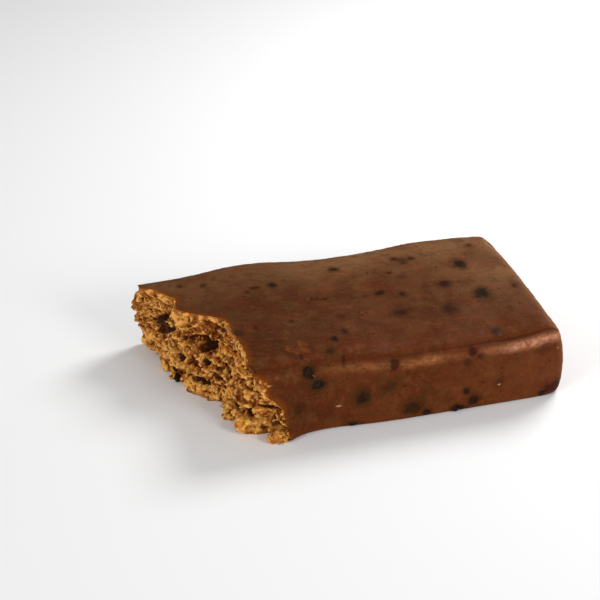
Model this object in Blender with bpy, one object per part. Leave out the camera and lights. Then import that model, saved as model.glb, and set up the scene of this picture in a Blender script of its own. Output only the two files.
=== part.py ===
"""One piece of a soft protein bar that was broken across, lying flat on its base.

Metres, +Z up. The bar runs along X, with its intact end at +X and the broken face at -X, and +Y is the
far long side. The origin lies under the middle of the piece, on the surface that it lies on.

Until the last step a point is in the bar's own frame: x is 0 at the intact end's top edge and negative
towards the break, y is 0 at the near long side, and z is 0 at the base.
"""

import math
import random

import bmesh
import bpy
import numpy as np
from mathutils import Matrix, Vector, noise

MM = 0.001

# The pressed bar: its section, and how far the slab reaches before it is broken
WIDTH = 35.0 * MM
THICKNESS = 13.9 * MM
SLAB_LENGTH = 80.0 * MM
TOP_ROUND = 2.1 * MM
BASE_ROUND = 0.8 * MM
CORNER_ROUND = 2.4 * MM
ROUND_STEPS = 3
SLAB_STEPS = (2.4 * MM, 3.2 * MM, 3.6 * MM)
# Points closer than this to a plane count as lying on it
TOLERANCE = 0.01 * MM

# How far the finished piece reaches from the bar's own zero, which sets the origin
END_REACH = 2.0 * MM
BREAK_REACH = 68.1 * MM
NEAR_REACH = 1.7 * MM
FAR_REACH = 1.1 * MM

# The intact end leans: it stands out furthest low down and is back at zero at the top edge
END_BULGE_HEIGHT = 5.0 * MM
END_LEAN = 1.7 * MM
BULGE_FADE = 7.0 * MM

# Long sides and top, as handling left them: (x, lift) in mm along the near top edge,
# and (x, spread, lift) in mm for the swells along the far one
SIDE_BULGE = 0.35 * MM
BASE_SPREAD = 0.6 * MM
CROWN = 0.25 * MM
NEAR_EDGE_LIFT = ((-60, 0.8), (-47, 0.8), (-38, 0.5), (-29, -0.6), (-10, -0.65), (-3, 0.0), (0, 0.0))
NEAR_LIFT_FADE = 11.0 * MM
FAR_EDGE_SWELLS = ((-47, 9.0, 1.3), (-13, 8.0, 0.5))
FAR_SWELL_START = 14.0 * MM
FAR_SPREAD = 0.8 * MM
FAR_SPREAD_X = -12.0 * MM
FAR_SPREAD_SPAN = 10.0 * MM
BASE_TUCK = 0.8 * MM
BASE_TUCK_X = -41.0 * MM
BASE_TUCK_SPAN = 7.0 * MM
BASE_FLARE = 2.0 * MM
BASE_FLARE_X = -50.5 * MM
BASE_FLARE_SPAN = 3.4 * MM

# The break's x in mm: across the bar (y) at the top and at the base, and up the near side (z)
BREAK_TOP = (
    (-4, -54.8), (7, -54.9), (17.4, -55.4), (21.2, -61.8), (23, -63.1), (26.6, -62.4), (28.8, -63.8),
    (30.6, -65.3), (31.8, -67.4), (38, -68.0),
)
BREAK_BASE = (
    (-4, -51.0), (0.6, -51.8), (2.0, -53.0), (2.9, -55.2), (4.8, -56.3), (8.2, -57.6), (10.5, -57.0),
    (13.3, -56.6), (14.4, -59.2), (16, -60.7), (18.8, -61.9), (21, -62.7), (25.8, -63.2), (28, -64.4),
    (32.4, -65.6), (35, -66.7), (38, -67.0),
)
BREAK_SIDE = (
    (0, -48.4), (5.3, -49.8), (7, -50.2), (8.5, -51.6), (9.7, -52.9), (12.6, -52.9), (13.6, -54.8),
    (16, -54.8),
)
SIDE_START = -0.5 * MM
SIDE_END = 3.0 * MM
STEP_HEIGHT = 0.58
STEP_SPAN = 0.5
STEP_SHARE = 0.6

# Hollows of the break that the photo shows as dark, and with a minus depth, ledges:
# (y, z, half width, half height, depth) in mm
BREAK_HOLLOWS = (
    (28.9, 7.5, 1.9, 1.8, 2.0), (19.3, 10.0, 0.8, 0.8, 1.4), (18.3, 8.5, 0.8, 1.1, 1.9),
    (14.3, 6.6, 0.7, 0.6, 0.9), (16.6, 6.3, 0.8, 0.6, 1.4), (17.4, 2.6, 1.4, 0.6, 1.1),
    (12.4, 4.6, 2.2, 0.5, 1.5), (4.9, 6.6, 1.6, 1.3, 1.4), (3.4, 4.4, 0.9, 1.0, 1.8),
    (7.6, 3.2, 0.6, 1.3, 1.1), (1.0, 6.2, 1.6, 0.5, 1.1), (0.6, 2.6, 1.0, 0.9, 1.0),
    (23.4, 7.6, 1.6, 0.6, 1.2), (25.5, 4.8, 1.4, 0.7, 1.1), (22.0, 4.8, 1.0, 0.7, 1.2),
    (21.6, 9.0, 0.9, 0.6, 0.9), (34.6, 8.0, 2.2, 3.2, -0.7), (16.2, 7.4, 2.4, 0.5, -0.8),
    (17.6, 4.3, 2.6, 0.6, -0.9), (24.5, 2.6, 3.0, 0.9, -0.7), (8.5, 9.5, 2.4, 0.9, -0.6),
    (2.2, 10.4, 1.2, 1.2, -0.5), (9.5, 1.2, 2.0, 1.0, -0.5), (31.0, 4.0, 2.0, 1.2, -0.6),
)

# The crumb's relief: clumps, ridges that run across the bar and a little down, and crumbs
CLUMP_SIZE = 3.1 * MM
CLUMP_HEIGHT = 1.9 * MM
CRUMB_SIZE = 1.2 * MM
CRUMB_HEIGHT = 1.0 * MM
LUMP_REACH = 0.75
LUMP_MEAN = 0.35
RIDGE_SIZE = 2.0 * MM
RIDGE_HEIGHT = 1.9 * MM
RIDGE_MEAN = 0.9
RIDGE_STRETCH = 2.2
RIDGE_TILT = math.radians(17.0)
CALM_DEPTH = 1.6 * MM
CALM_SHARE = 0.15
SHOULDER = 0.9 * MM
WARP_SIZE = 3.0 * MM
WARP = 0.6 * MM
WARP_OFFSETS = (Vector((31.7, 0.0, 0.0)), Vector((0.0, 53.1, 0.0)), Vector((0.0, 0.0, 77.9)))
CRAG_STEP = 0.43 * MM
CUTTER_MARGIN = 2.2 * MM
CUTTER_BACK = -85.0 * MM

# Crumbs that stand out at the break's lower and far edges: (x, y, z, radius) in mm
HANGING_CRUMBS = (
    (-50.3, -0.8, 1.1, 1.05), (-51.1, -0.4, 0.9, 0.85), (-49.4, -1.1, 0.9, 0.75),
    (-55.0, 3.3, 1.3, 1.2), (-64.0, 25.7, 1.0, 0.85), (-67.2, 33.6, 9.4, 0.8), (-67.1, 33.8, 6.8, 0.8),
)
CRUMB_SQUASH = (0.8, 1.1)
CRUMB_ROUGHNESS = 0.4
CRUMB_SEED = 11
BASE_CLEARANCE = 0.15 * MM

# Fruit bits that stand out of the skin: (x, y, z) of the middle on the plain slab and the half sizes,
# all in mm
FRUIT_BITS = (
    ((-44.9, 0.4, 11.9), (0.65, 0.5, 0.8)),
    ((-44.2, 0.4, 11.0), (0.5, 0.45, 0.5)),
    ((-43.3, 0.4, 9.9), (0.95, 0.5, 0.75)),
    ((-42.9, 0.4, 9.1), (0.6, 0.4, 0.5)),
    ((-35.6, 0.4, 6.1), (0.7, 0.45, 0.95)),
    ((-36.9, 0.35, 0.75), (0.8, 0.45, 0.5)),
    ((-29.9, 0.45, 11.5), (0.45, 0.45, 0.5)),
    ((-23.8, 0.35, 1.0), (0.65, 0.5, 0.5)),
    ((-18.6, 0.3, 0.8), (0.7, 0.6, 0.5)),
    ((-17.3, 0.35, 1.1), (0.55, 0.5, 0.5)),
    ((-15.2, 0.4, 2.0), (0.7, 0.45, 0.8)),
    ((-15.4, 0.5, 12.0), (0.4, 0.45, 0.45)),
    ((-3.4, 0.4, 1.1), (0.8, 0.5, 0.5)),
)
BIT_ROUGHNESS = 0.25

DOUGH_COLOUR = (0.13, 0.047, 0.017, 1.0)
DOUGH_ROUGHNESS = 0.55
SHARP_ANGLE = math.radians(40.0)


def ramp(value, start, end):
    """0 up to start, 1 from end on, with a soft S between them."""
    share = min(1.0, max(0.0, (value - start) / (end - start)))
    return share * share * (3.0 - 2.0 * share)


def hump(value, centre, span):
    return math.exp(-(((value - centre) / span) ** 2))


def along(points, place):
    """Read an outline given as (place, value) points in millimetres."""
    places, values = zip(*points)
    return float(np.interp(place / MM, places, values)) * MM


def top_lift(x, y):
    """How far the top skin lies above the plain slab."""
    near = along(NEAR_EDGE_LIFT, x) * hump(y, 0.0, NEAR_LIFT_FADE)
    swell = sum(lift * hump(x / MM, centre, span) for centre, span, lift in FAR_EDGE_SWELLS) * MM
    crown = CROWN * (1.0 - (2.0 * y / WIDTH - 1.0) ** 2)
    return near + swell * ramp(y, FAR_SWELL_START, WIDTH) + crown


def pressed(point):
    """Move a point of the plain slab to where it lies on the soft, handled bar."""
    x, y, z = point
    share = z / THICKNESS
    at_end = ramp(x, -BULGE_FADE, 0.0)
    at_far_side = ramp(y, WIDTH - BULGE_FADE, WIDTH)
    at_near_side = 1.0 - ramp(y, 0.0, BULGE_FADE)
    height_from_bulge = (z - END_BULGE_HEIGHT) / (THICKNESS - END_BULGE_HEIGHT)
    end_push = END_REACH - END_LEAN * height_from_bulge ** 2
    belly = SIDE_BULGE * math.sin(math.pi * share)
    spread = BASE_SPREAD * (1.0 - share)
    far_push = belly + spread + FAR_SPREAD * hump(x, FAR_SPREAD_X, FAR_SPREAD_SPAN) * share
    tuck = BASE_TUCK * hump(x, BASE_TUCK_X, BASE_TUCK_SPAN)
    flare = BASE_FLARE * hump(x, BASE_FLARE_X, BASE_FLARE_SPAN)
    near_push = (tuck - flare) * (1.0 - share) - spread - belly
    return Vector((
        x + end_push * at_end,
        y + far_push * at_far_side + near_push * at_near_side,
        z + top_lift(x, y) * share,
    ))


def near_side(x, z):
    """y of the bar's near long side."""
    return pressed(Vector((x, 0.0, min(THICKNESS, max(0.0, z))))).y


def depth_inside(place):
    """Roughly how deep a point lies under the nearest skin."""
    x, y, z = place
    side = min(y - near_side(x, z), WIDTH + FAR_REACH - y)
    return min(side, THICKNESS + top_lift(x, y) - z)


def lumps(place, size):
    """A field of rounded lumps about one size across, each of its own height, 0 in the creases."""
    distances, centres = noise.voronoi(place / size)
    dome = 1.0 - min(1.0, distances[0] / LUMP_REACH) ** 2
    return dome * (0.6 + 0.4 * noise.noise(centres[0] * 7.3))


def drawn_out(place):
    """A place with the crumb's lengthwise direction shortened, so that what is read there comes out drawn."""
    tilt_cos, tilt_sin = math.cos(RIDGE_TILT), math.sin(RIDGE_TILT)
    lengthwise = (place.y * tilt_cos + place.z * tilt_sin) / RIDGE_STRETCH
    return Vector((place.x, lengthwise, place.z * tilt_cos - place.y * tilt_sin))


def ridges(drawn):
    """Crests with wide troughs between them."""
    return 1.0 - abs(2.0 * noise.noise(drawn / RIDGE_SIZE + WARP_OFFSETS[0]))


def plain_break(y, z):
    """x of the break without its crags."""
    share = min(1.0, max(0.0, z / THICKNESS))
    step = ramp(share, STEP_HEIGHT - STEP_SPAN / 2, STEP_HEIGHT + STEP_SPAN / 2)
    blend = share + (step - share) * STEP_SHARE
    across = along(BREAK_BASE, y) * (1.0 - blend) + along(BREAK_TOP, y) * blend
    at_side = 1.0 - ramp(y, SIDE_START, SIDE_END)
    return across + (along(BREAK_SIDE, z) - across) * at_side


def hollow_depth(y, z):
    """How deep the named hollows are at a place of the break."""
    depth = 0.0
    for middle_y, middle_z, half_width, half_height, deepest in BREAK_HOLLOWS:
        reach = ((y / MM - middle_y) / half_width) ** 2 + ((z / MM - middle_z) / half_height) ** 2
        depth += deepest * math.exp(-reach * reach)
    return depth * MM


def wander(place):
    """A smooth push in all three directions, each read from its own part of one noise field."""
    return Vector([noise.noise(place / WARP_SIZE + offset) for offset in WARP_OFFSETS]) * WARP


def torn(y, z):
    """A point of the craggy break. Near the skin it is calmer and rounds over."""
    place = Vector((plain_break(y, z), y, z))
    inside = depth_inside(place)
    rough = CALM_SHARE + (1.0 - CALM_SHARE) * ramp(inside, 0.0, CALM_DEPTH)
    push = wander(place)
    bent = place + push
    drawn = drawn_out(bent)
    out = CLUMP_HEIGHT * (lumps(drawn, CLUMP_SIZE) - LUMP_MEAN)
    out += RIDGE_HEIGHT * (ridges(drawn) - RIDGE_MEAN)
    out += CRUMB_HEIGHT * (lumps(bent, CRUMB_SIZE) - LUMP_MEAN)
    out = out * rough - hollow_depth(y, z)
    round_over = 1.0 - min(1.0, max(0.0, inside / SHOULDER))
    out -= SHOULDER * (1.0 - math.sqrt(1.0 - round_over ** 2))
    return place - Vector((out, 0.0, 0.0)) + push * rough


def dough_material():
    material = bpy.data.materials.new("bar_dough")
    material.use_nodes = True
    shader = material.node_tree.nodes["Principled BSDF"]
    shader.inputs["Base Color"].default_value = DOUGH_COLOUR
    shader.inputs["Roughness"].default_value = DOUGH_ROUGHNESS
    shader.inputs["Metallic"].default_value = 0.0
    return material


def add_object(name, bm, collection):
    """Make an object of a bmesh, which is used up."""
    mesh = bpy.data.meshes.new(name)
    bm.to_mesh(mesh)
    bm.free()
    made = bpy.data.objects.new(name, mesh)
    collection.objects.link(made)
    return made


def add_collection(name):
    made = bpy.data.collections.new(name)
    bpy.context.scene.collection.children.link(made)
    return made


def edges_where(bm, test):
    return [edge for edge in bm.edges if all(test(vert.co) for vert in edge.verts)]


def round_edges(bm, edges, radius):
    bmesh.ops.bevel(bm, geom=edges, offset=radius, offset_type="OFFSET", segments=ROUND_STEPS,
                    profile=0.5, affect="EDGES")


def slice_at(bm, axis, low, high):
    """Cut loops across one axis, so that the form has points to move."""
    count = round((high - low) / SLAB_STEPS[axis])
    normal = Vector((0.0, 0.0, 0.0))
    normal[axis] = 1.0
    for step in range(1, count):
        place = normal * (low + (high - low) * step / count)
        parts = bm.verts[:] + bm.edges[:] + bm.faces[:]
        bmesh.ops.bisect_plane(bm, geom=parts, plane_co=place, plane_no=normal, dist=TOLERANCE)


def bar_slab(collection):
    """The whole-width slab with its rounded edges, longer than the piece, pressed to the bar's form."""
    bm = bmesh.new()
    size = Matrix.Diagonal((SLAB_LENGTH, WIDTH, THICKNESS, 1.0))
    middle = Matrix.Translation((-SLAB_LENGTH / 2, WIDTH / 2, THICKNESS / 2))
    bmesh.ops.create_cube(bm, size=1.0, matrix=middle @ size)
    upright = [edge for edge in edges_where(bm, lambda co: co.x > -MM)
               if abs(edge.verts[0].co.z - edge.verts[1].co.z) > MM]
    round_edges(bm, upright, CORNER_ROUND)
    round_edges(bm, edges_where(bm, lambda co: co.z > THICKNESS - TOLERANCE), TOP_ROUND)
    round_edges(bm, edges_where(bm, lambda co: co.z < TOLERANCE), BASE_ROUND)
    slice_at(bm, 0, -SLAB_LENGTH + TOP_ROUND, -CORNER_ROUND)
    slice_at(bm, 1, CORNER_ROUND, WIDTH - CORNER_ROUND)
    slice_at(bm, 2, BASE_ROUND, THICKNESS - TOP_ROUND)
    for vert in bm.verts:
        vert.co = pressed(vert.co)
    bmesh.ops.triangulate(bm, faces=bm.faces[:])
    return add_object("bar", bm, collection)


def break_cutter(collection):
    """A block that fills everything beyond the break, its near face torn into crags."""
    bm = bmesh.new()
    depth = WIDTH + 2 * CUTTER_MARGIN
    height = THICKNESS + 2 * CUTTER_MARGIN
    bmesh.ops.create_grid(bm, x_segments=round(depth / CRAG_STEP), y_segments=round(height / CRAG_STEP),
                          size=0.5)
    for vert in bm.verts:
        vert.co = torn(WIDTH / 2 + depth * vert.co.x, THICKNESS / 2 + height * vert.co.y)
    sheet = bm.verts[:] + bm.edges[:] + bm.faces[:]
    pulled = bmesh.ops.extrude_face_region(bm, geom=sheet, use_keep_orig=True)["geom"]
    for vert in pulled:
        if isinstance(vert, bmesh.types.BMVert):
            vert.co.x = CUTTER_BACK
    bmesh.ops.recalc_face_normals(bm, faces=bm.faces[:])
    bmesh.ops.triangulate(bm, faces=bm.faces[:])
    cutter = add_object("break_cutter", bm, collection)
    cutter.hide_render = True
    cutter.display_type = "WIRE"
    return cutter


def add_pebble(name, middle, half_sizes, roughness, collection):
    """A small uneven lump: a sphere squashed to its half sizes, its points pushed in and out."""
    bm = bmesh.new()
    bmesh.ops.create_icosphere(bm, subdivisions=2, radius=1.0)
    for vert in bm.verts:
        push = 1.0 + roughness * noise.noise(vert.co * 1.6 + Vector(middle) / MM)
        vert.co = Vector(middle) + Vector([size * part * push for size, part in zip(half_sizes, vert.co)])
    return add_object(name, bm, collection)


def add_crumbs(collection):
    draw = random.Random(CRUMB_SEED)
    for index, (x, y, z, radius) in enumerate(HANGING_CRUMBS):
        lowest = radius * (1.0 + CRUMB_ROUGHNESS / 2) * MM + BASE_CLEARANCE
        place = Vector((x * MM, y * MM, max(z * MM, lowest)))
        half_sizes = [radius * draw.uniform(*CRUMB_SQUASH) * MM for _ in range(3)]
        add_pebble(f"crumb_{index}", place, half_sizes, CRUMB_ROUGHNESS, collection)


def add_fruit_bits(collection):
    for index, (middle, half_sizes) in enumerate(FRUIT_BITS):
        place = pressed(Vector(middle) * MM)
        add_pebble(f"fruit_bit_{index}", place, [size * MM for size in half_sizes], BIT_ROUGHNESS,
                   collection)


def apply_modifiers(target):
    """Put the object's evaluated mesh in place of its own."""
    evaluated = target.evaluated_get(bpy.context.evaluated_depsgraph_get())
    mesh = bpy.data.meshes.new_from_object(evaluated)
    target.modifiers.clear()
    target.data = mesh


def cut_break(bar, cutter):
    cut = bar.modifiers.new("break", "BOOLEAN")
    cut.operation = "DIFFERENCE"
    cut.solver = "EXACT"
    cut.object = cutter
    apply_modifiers(bar)


def join_all(bar, collection):
    """Fuse every lump of the collection with the bar, then remove the lumps."""
    union = bar.modifiers.new("additions", "BOOLEAN")
    union.operation = "UNION"
    union.operand_type = "COLLECTION"
    union.solver = "EXACT"
    union.collection = collection
    apply_modifiers(bar)
    for lump in list(collection.objects):
        bpy.data.objects.remove(lump)
    bpy.data.collections.remove(collection)


def keep_one_body(bar):
    """Fill any hollow that the joining sealed, and drop any loose scrap: only the outer skin stays."""
    bm = bmesh.new()
    bm.from_mesh(bar.data)
    left = set(bm.verts)
    shells = []
    while left:
        found = {left.pop()}
        edge_of_search = list(found)
        while edge_of_search:
            vert = edge_of_search.pop()
            fresh = {edge.other_vert(vert) for edge in vert.link_edges} & left
            left -= fresh
            found |= fresh
            edge_of_search.extend(fresh)
        shells.append(found)
    shells.sort(key=len)
    for shell in shells[:-1]:
        bmesh.ops.delete(bm, geom=list(shell), context="VERTS")
    bm.to_mesh(bar.data)
    bm.free()


def place_on_origin(bar):
    """From the bar's own frame to the part's, with the origin under the middle."""
    middle_x = (END_REACH - BREAK_REACH) / 2
    middle_y = (WIDTH + FAR_REACH - NEAR_REACH) / 2
    bar.data.transform(Matrix.Translation((-middle_x, -middle_y, 0.0)))


def main():
    for old in list(bpy.data.objects):
        bpy.data.objects.remove(old)
    parts = add_collection("protein_bar")
    cutters = add_collection("cutters")
    additions = add_collection("additions")
    bar = bar_slab(parts)
    cut_break(bar, break_cutter(cutters))
    add_crumbs(additions)
    add_fruit_bits(additions)
    join_all(bar, additions)
    keep_one_body(bar)
    place_on_origin(bar)
    bar.data.materials.clear()
    bar.data.materials.append(dough_material())
    bar.data.shade_smooth()
    bar.data.set_sharp_from_angle(angle=SHARP_ANGLE)


main()
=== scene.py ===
"""The looks of the broken protein bar: one soft brown bar with dark fruit bits, torn open at its left end.

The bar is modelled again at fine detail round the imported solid, from the same sizes as the part's source.
Lengths are metres, written as millimetres times MM. Until it is placed, a point is in the bar's own frame:
x is 0 at the intact end's top edge and negative towards the break, y is 0 at the near long side, and z is 0
at the base.
"""

import functools
import math
import random

import bmesh
import bpy
import numpy as np
from mathutils import Color, Matrix, Vector, bvhtree, kdtree, noise


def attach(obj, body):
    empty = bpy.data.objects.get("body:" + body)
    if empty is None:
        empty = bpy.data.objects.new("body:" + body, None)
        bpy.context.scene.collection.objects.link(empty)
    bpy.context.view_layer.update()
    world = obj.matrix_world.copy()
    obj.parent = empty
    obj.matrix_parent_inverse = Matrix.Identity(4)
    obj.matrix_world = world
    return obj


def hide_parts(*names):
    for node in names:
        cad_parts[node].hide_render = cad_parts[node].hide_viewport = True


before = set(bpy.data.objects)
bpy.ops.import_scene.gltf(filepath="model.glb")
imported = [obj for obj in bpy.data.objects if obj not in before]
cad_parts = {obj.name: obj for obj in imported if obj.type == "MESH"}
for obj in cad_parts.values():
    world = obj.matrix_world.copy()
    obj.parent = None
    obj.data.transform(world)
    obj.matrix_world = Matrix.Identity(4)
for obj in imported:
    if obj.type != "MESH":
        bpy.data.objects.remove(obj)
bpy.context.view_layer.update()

MM = 0.001
TOLERANCE = 0.01 * MM

# ---- The bar's form, as in the part's source ----
WIDTH = 35.0 * MM
THICKNESS = 13.9 * MM
SLAB_LENGTH = 80.0 * MM
TOP_ROUND = 2.1 * MM
BASE_ROUND = 0.8 * MM
CORNER_ROUND = 2.4 * MM
ROUND_STEPS = 2
SLAB_STEPS = (3.0 * MM, 3.8 * MM, 3.6 * MM)
SLAB_LEVELS = 3

END_REACH = 2.0 * MM
BREAK_REACH = 68.1 * MM
NEAR_REACH = 1.7 * MM
FAR_REACH = 1.1 * MM

END_BULGE_HEIGHT = 5.0 * MM
END_LEAN = 1.7 * MM
BULGE_FADE = 7.0 * MM
SIDE_BULGE = 0.35 * MM
BASE_SPREAD = 0.6 * MM
CROWN = 0.25 * MM
NEAR_EDGE_LIFT = ((-60, 0.8), (-47, 0.8), (-38, 0.5), (-29, -0.6), (-10, -0.65), (-3, 0.0), (0, 0.0))
NEAR_LIFT_FADE = 11.0 * MM
FAR_EDGE_SWELLS = ((-47, 9.0, 1.3), (-13, 8.0, 0.5))
FAR_SWELL_START = 14.0 * MM
FAR_SPREAD = 0.8 * MM
FAR_SPREAD_X = -12.0 * MM
FAR_SPREAD_SPAN = 10.0 * MM
BASE_TUCK = 0.8 * MM
BASE_TUCK_X = -41.0 * MM
BASE_TUCK_SPAN = 7.0 * MM
BASE_FLARE = 2.0 * MM
BASE_FLARE_X = -50.5 * MM
BASE_FLARE_SPAN = 3.4 * MM

# The break's x in mm: across the bar (y) at the top and at the base, and up the near side (z)
BREAK_TOP = (
    (-4, -54.8), (7, -54.9), (17.4, -55.4), (21.2, -61.8), (23, -63.1), (26.6, -62.4), (28.8, -63.8),
    (30.6, -65.3), (31.8, -67.4), (38, -68.0),
)
BREAK_BASE = (
    (-4, -51.0), (0.6, -51.8), (2.0, -53.0), (2.9, -55.2), (4.8, -56.3), (8.2, -57.6), (10.5, -57.0),
    (13.3, -56.6), (14.4, -59.2), (16, -60.7), (18.8, -61.9), (21, -62.7), (25.8, -63.2), (28, -64.4),
    (32.4, -65.6), (35, -66.7), (38, -67.0),
)
BREAK_SIDE = (
    (0, -48.4), (5.3, -49.8), (7, -50.2), (8.5, -51.6), (9.7, -52.9), (12.6, -52.9), (13.6, -54.8),
    (16, -54.8),
)
SIDE_START = -0.5 * MM
SIDE_END = 3.0 * MM
STEP_HEIGHT = 0.58
STEP_SPAN = 0.5
STEP_SHARE = 0.6

# Hollows of the break that the photo shows as dark, and with a minus depth, ledges:
# (y, z, half width, half height, depth) in mm
BREAK_HOLLOWS = (
    (28.9, 7.5, 1.9, 1.8, 2.0), (19.3, 10.0, 0.8, 0.8, 1.4), (18.3, 8.5, 0.8, 1.1, 1.9),
    (14.3, 6.6, 0.7, 0.6, 0.9), (16.6, 6.3, 0.8, 0.6, 1.4), (17.4, 2.6, 1.4, 0.6, 1.1),
    (12.4, 4.6, 2.2, 0.5, 1.5), (4.9, 6.6, 1.6, 1.3, 1.4), (3.4, 4.4, 0.9, 1.0, 1.8),
    (7.6, 3.2, 0.6, 1.3, 1.1), (1.0, 6.2, 1.6, 0.5, 1.1), (0.6, 2.6, 1.0, 0.9, 1.0),
    (23.4, 7.6, 1.6, 0.6, 1.2), (25.5, 4.8, 1.4, 0.7, 1.1), (22.0, 4.8, 1.0, 0.7, 1.2),
    (21.6, 9.0, 0.9, 0.6, 0.9), (34.6, 8.0, 2.2, 3.2, -0.7), (16.2, 7.4, 2.4, 0.5, -0.8),
    (17.6, 4.3, 2.6, 0.6, -0.9), (24.5, 2.6, 3.0, 0.9, -0.7), (8.5, 9.5, 2.4, 0.9, -0.6),
    (2.2, 10.4, 1.2, 1.2, -0.5), (9.5, 1.2, 2.0, 1.0, -0.5), (31.0, 4.0, 2.0, 1.2, -0.6),
)

# The crumb's relief: clumps, ridges that run across the bar and a little down, and crumbs
CLUMP_SIZE = 3.1 * MM
CLUMP_HEIGHT = 1.9 * MM
CRUMB_SIZE = 1.2 * MM
CRUMB_HEIGHT = 1.0 * MM
LUMP_REACH = 0.75
LUMP_MEAN = 0.35
LUMP_VARIETY = 0.4
LUMP_SHUFFLE = 7.3
TONE_SHUFFLE = 5.1
RIDGE_SIZE = 2.0 * MM
RIDGE_HEIGHT = 1.9 * MM
RIDGE_MEAN = 0.9
RIDGE_STRETCH = 2.2
RIDGE_TILT = math.radians(17.0)
CALM_DEPTH = 1.6 * MM
CALM_SHARE = 0.15
SHOULDER = 0.9 * MM
WARP_SIZE = 3.0 * MM
WARP = 0.6 * MM
WARP_OFFSETS = (Vector((31.7, 0.0, 0.0)), Vector((0.0, 53.1, 0.0)), Vector((0.0, 0.0, 77.9)))
CUTTER_MARGIN = 2.2 * MM
CUTTER_BACK = -85.0 * MM

# Crumbs that stand out at the break's lower edge: (x, y, z, radius) in mm
HANGING_CRUMBS = (
    (-50.3, -0.8, 1.1, 1.05), (-51.1, -0.4, 0.9, 0.85), (-49.4, -1.1, 0.9, 0.75),
    (-55.0, 3.3, 1.3, 1.2), (-64.0, 25.7, 1.0, 0.85), (-67.2, 33.6, 9.4, 0.8), (-67.1, 33.8, 6.8, 0.8),
)

# The materials' places on the bar, in the order in which they are added
SKIN, CRUMB = 0, 1

# ---- Finer relief that the solid leaves out ----
# Points right of this x lie nowhere near the break, and are given this distance from it, in mm
NEAR_BREAK = -40.0 * MM
FAR_FROM_BREAK = 20.0
FINE_STEP = 0.19 * MM
LONGEST_EDGE = 0.31 * MM
SPLIT_ROUNDS = 2
# The slab's mesh is halved on the near side and on the top beside the break, within these limits
HALVED_START = -58.0 * MM
HALVED_TOP_END = -34.0 * MM
HALVED_TOP_WIDTH = 21.0 * MM
HALVED_SIDE_FOOT = 0.3 * MM
# Unevenness of the skin: (size, height), and streaks along the bar. It fades out towards the base.
SKIN_WAVES = ((8.0 * MM, 0.14 * MM), (2.6 * MM, 0.06 * MM), (0.9 * MM, 0.045 * MM))
STREAK_SIZES = (14.0 * MM, 1.1 * MM, 1.1 * MM)
STREAK_HEIGHT = 0.035 * MM
WAVE_FADE = (0.2 * MM, 1.5 * MM)
# Crests and crevices that the materials read for painted highlights and painted shade, from fine to broad:
# (name, rounds of smoothing)
CAVITIES = (("cavity", 4), ("crevice", 14), ("hollow", 40), ("basin", 250))
# Crumbs all over the break: (size, height)
GRAIN_SCALES = ((0.8 * MM, 0.28 * MM), (0.42 * MM, 0.16 * MM))
GRAIN_CALM = 0.9
RIM_WIDTH = 0.04 * MM
# The near top edge: (x in mm, how strongly the crest and the groove above it stand out there)
EDGE_PROFILE = (
    (-60, 0.1), (-46, 0.1), (-38, 0.35), (-30, 0.5), (-20, 0.6), (-12, 0.85), (-6, 1.0), (-2, 0.9), (0, 0.3),
)
# How strongly the crest is painted light, partly as wear and partly as a painted highlight: (x in mm, share)
SHEEN_PROFILE = (
    (-48, 0.05), (-40, 0.08), (-37, 0.2), (-31, 0.2), (-28, 0.22), (-25, 0.32), (-22.8, 0.38), (-21, 0.13),
    (-16, 0.08), (-11, 0.22), (-8, 0.63), (-2, 0.65), (0, 0.2),
)
# What runs along the near top edge: (how far over the rounding, span, profile)
CREST = (0.1 * MM, 1.0 * MM, EDGE_PROFILE)
GROOVE = (1.75 * MM, 0.5 * MM, EDGE_PROFILE)
SHEEN = (0.1 * MM, 0.75 * MM, SHEEN_PROFILE)
EDGE_WAVE_SIZE = 5.0 * MM
EDGE_WAVE = 0.25 * MM
CREST_HEIGHT = 0.3 * MM
GROOVE_DEPTH = 0.42 * MM
BEAD_SIZE = 0.65 * MM
BEAD_HEIGHT = 0.08 * MM
# Dents of the top: (x, y, half length, half width, depth) in mm
DENTS = ((-0.9, 30.6, 0.8, 2.8, 0.5), (-53.4, 12.6, 1.6, 1.4, 0.35), (-42.5, 1.2, 2.5, 1.5, 0.2))
# Creases of the skin: ends (x, y) and (x, y), half width, depth, all in mm
TOP_CREASES = (
    (-38.7, 19.8, -36.4, 19.3, 0.3, 0.35), (-54.3, 2.0, -53.6, 0.6, 0.14, 0.2),
    (-51.9, 16.2, -50.6, 15.4, 0.12, 0.07), (-50.4, 13.6, -50.1, 11.6, 0.12, 0.08),
    (-17.9, 18.8, -15.0, 18.8, 0.12, 0.06), (-52.8, 27.0, -50.8, 22.6, 0.25, 0.08),
    (-50.8, 22.6, -44.0, 19.6, 0.25, 0.08), (-49.2, 10.2, -46.0, 5.0, 0.2, 0.05),
)
SIDE_CREASES = ((-45.3, 14.2, -44.7, 12.6, 0.18, 0.25), (-6.9, 13.0, -6.0, 11.6, 0.14, 0.16),
                (-8.9, 11.2, -7.6, 10.8, 0.1, 0.08))
# How near to the skin a crease is felt, in mm, and how many half widths it reaches to each side
CREASE_SKIN = 1.0
CREASE_REACH = 3.0
CREASE_WIGGLE = 0.125
CREASE_WIGGLE_SIZE = 0.9
CREASE_LAYER = 7.0

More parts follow.
